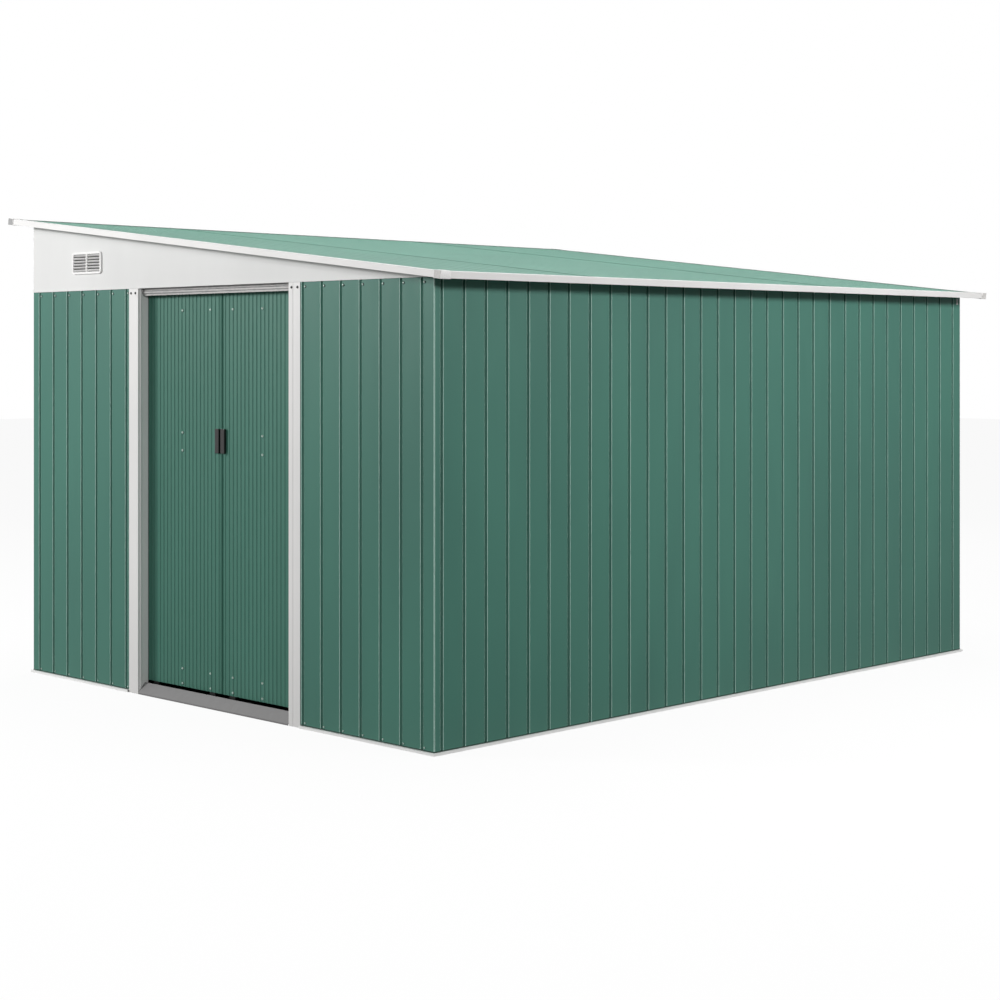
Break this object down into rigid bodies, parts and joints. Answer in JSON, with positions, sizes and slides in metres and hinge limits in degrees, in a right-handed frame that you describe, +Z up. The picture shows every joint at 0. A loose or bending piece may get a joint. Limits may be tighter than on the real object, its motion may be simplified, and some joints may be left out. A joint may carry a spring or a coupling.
{
  "type": "metal storage shed",
  "caption": "Green ribbed-steel garden storage shed with a pent roof, white trims, sliding doors under a gable vent and a low threshold ramp.",
  "frame": {"origin": "middle of the plan, on the ground", "axes": "+X across the door front towards the low side of the roof, -Y out of the doors, +Y along the shed to its back, +Z up"},
  "size_m": [2.697, 3.399, 1.9305],
  "materials": {
    "wall_sheet": "satin green coating on ribbed steel sheet",
    "door_sheet": "satin green coating on fine-ribbed steel sheet",
    "roof_sheet": "satin green coating on ribbed steel sheet",
    "white_trim": "satin white coating on folded steel",
    "vent": "moulded white plastic",
    "cap": "moulded light grey plastic",
    "galvanised": "grey galvanised steel",
    "handle": "glossy black plastic",
    "slider": "nylon"
  },
  "bodies": {
    "shed": {"front_wall_left": "wall_sheet", "front_wall_right": "wall_sheet", "left_wall_front": "wall_sheet", "left_wall_middle": "wall_sheet", "left_wall_back": "wall_sheet", "right_wall_front": "wall_sheet", "right_wall_middle": "wall_sheet", "right_wall_back": "wall_sheet", "back_wall_left": "wall_sheet", "back_wall_middle": "wall_sheet", "back_wall_right": "wall_sheet", "roof_sheet_front": "roof_sheet", "roof_sheet_middle": "roof_sheet", "roof_sheet_back": "roof_sheet", "base_rail_front": "white_trim", "base_rail_back": "white_trim", "base_rail_left": "white_trim", "base_rail_right": "white_trim", "door_post_left": "white_trim", "door_post_right": "white_trim", "gable_plate_front": "white_trim", "gable_plate_back": "white_trim", "high_plate": "white_trim", "roof_trim_front": "white_trim", "roof_trim_back": "white_trim", "roof_trim_low": "white_trim", "roof_trim_high": "white_trim", "vent_front": "vent", "vent_back": "vent", "corner_caps": "cap", "threshold_ramp": "galvanised", "lower_guide": "galvanised", "head_fascia": "galvanised", "head_track": "galvanised", "corner_posts": "galvanised", "head_rail_front": "galvanised", "head_rail_back": "galvanised", "head_rail_left": "galvanised", "roof_rail_low": "galvanised", "roof_rail_high": "galvanised", "mid_rail_left": "galvanised", "mid_rail_right": "galvanised", "mid_rail_back": "galvanised", "gable_rail_front": "galvanised", "gable_rail_back": "galvanised", "rafters": "galvanised", "purlins": "galvanised"},
    "door_left": {"door_left_stiffeners": "galvanised", "door_left_panel": "door_sheet", "door_left_handle": "handle", "door_left_sliders": "slider"},
    "door_right": {"door_right_stiffeners": "galvanised", "door_right_panel": "door_sheet", "door_right_handle": "handle", "door_right_sliders": "slider"}
  },
  "joints": [
    {"name": "door_left_slide", "type": "slide", "parent": "shed", "child": "door_left", "axis": [-1, 0, 0], "range_m": [0, 0.435]},
    {"name": "door_right_slide", "type": "slide", "parent": "shed", "child": "door_right", "axis": [1, 0, 0], "range_m": [0, 0.435]}
  ]
}
